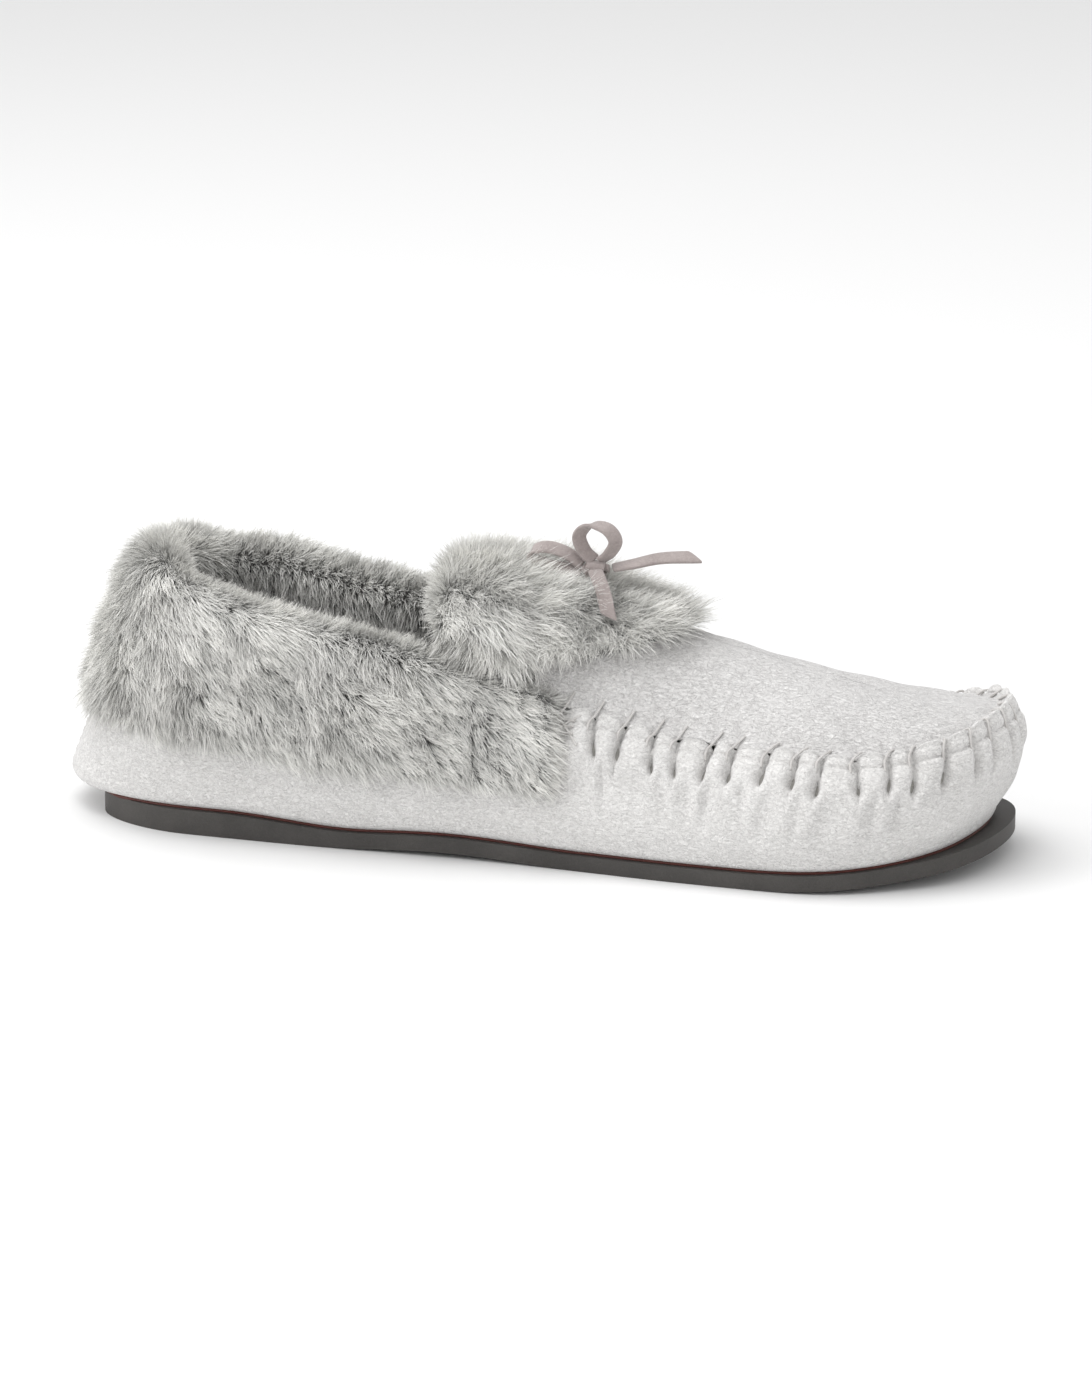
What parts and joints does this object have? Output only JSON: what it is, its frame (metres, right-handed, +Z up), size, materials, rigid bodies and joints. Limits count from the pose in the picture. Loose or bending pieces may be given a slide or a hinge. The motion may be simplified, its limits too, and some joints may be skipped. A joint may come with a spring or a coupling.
{
  "type": "fluffy house slipper",
  "caption": "Moccasin house slipper for the right foot: suede upper with a puckered hand-sewn seam, long-pile collar and tongue, lace bow, rubber sole.",
  "frame": {"origin": "on the ground plane, under the middle of the slipper's bounding box", "axes": "+X towards the toe, +Y towards the inner side of the foot, +Z up"},
  "size_m": [0.259, 0.0886, 0.085],
  "materials": {
    "suede": "brushed suede, pale grey, short soft nap",
    "pile": "long loose pile, pale grey with cream tips",
    "pile_lining": "short dense pile",
    "lace": "flat suede lace, mauve taupe",
    "thread": "waxed polyester thread",
    "sole_rubber": "moulded rubber, satin, dark grey",
    "filler_felt": "pressed felt",
    "board": "fibre board",
    "foam": "open-cell foam",
    "counter": "thermoplastic stiffener sheet",
    "tape": "woven cotton tape"
  },
  "bodies": {
    "slipper": {"sidewall": "suede", "vamp_plug": "suede", "collar_outer_side": "pile", "collar_inner_side": "pile", "quarter_lining": "pile_lining", "toe_lining": "pile_lining", "vamp_lining": "pile_lining", "sock_lining": "pile_lining", "moc_stitches": "thread", "seam_bar_tacks": "thread", "heel_stitches": "thread", "outsole": "sole_rubber", "bottom_filler": "filler_felt", "insole_board": "board", "insole_foam": "foam", "heel_counter": "counter", "topline_tape": "tape"},
    "tongue": {"tongue_panel": "suede", "tongue_lining": "pile_lining", "tongue_cuff": "pile", "bow_knot": "lace", "bow_tack": "thread"},
    "upper_loop": {"bow_loop_upper": "lace"},
    "lower_loop": {"bow_loop_lower": "lace"},
    "near_tail": {"bow_tail_near": "lace"},
    "far_tail": {"bow_tail_far": "lace"}
  },
  "joints": [
    {"name": "tongue_lift", "type": "hinge", "parent": "slipper", "child": "tongue", "pos_m": [0.04094, 0, 0.05656], "axis": [0, 1, 0], "range_deg": [0, 35]},
    {"name": "upper_loop_sway", "type": "hinge", "parent": "tongue", "child": "upper_loop", "pos_m": [0.01758, -0.00348, 0.07455], "axis": [0, 1, 0], "range_deg": [-20, 20], "stiffness_Nm_per_rad": 0.0002},
    {"name": "lower_loop_lift", "type": "hinge", "parent": "tongue", "child": "lower_loop", "pos_m": [0.01393, -0.00348, 0.07375], "axis": [0, 1, 0], "range_deg": [0, 25]},
    {"name": "near_tail_lift", "type": "hinge", "parent": "tongue", "child": "near_tail", "pos_m": [0.01758, -0.00763, 0.07295], "axis": [-0.8321, -0.5547, 0], "range_deg": [0, 25]},
    {"name": "far_tail_sway", "type": "hinge", "parent": "tongue", "child": "far_tail", "pos_m": [0.02173, -0.00298, 0.07265], "axis": [0.3011, -0.9536, 0], "range_deg": [-10, 20], "stiffness_Nm_per_rad": 0.0002}
  ]
}
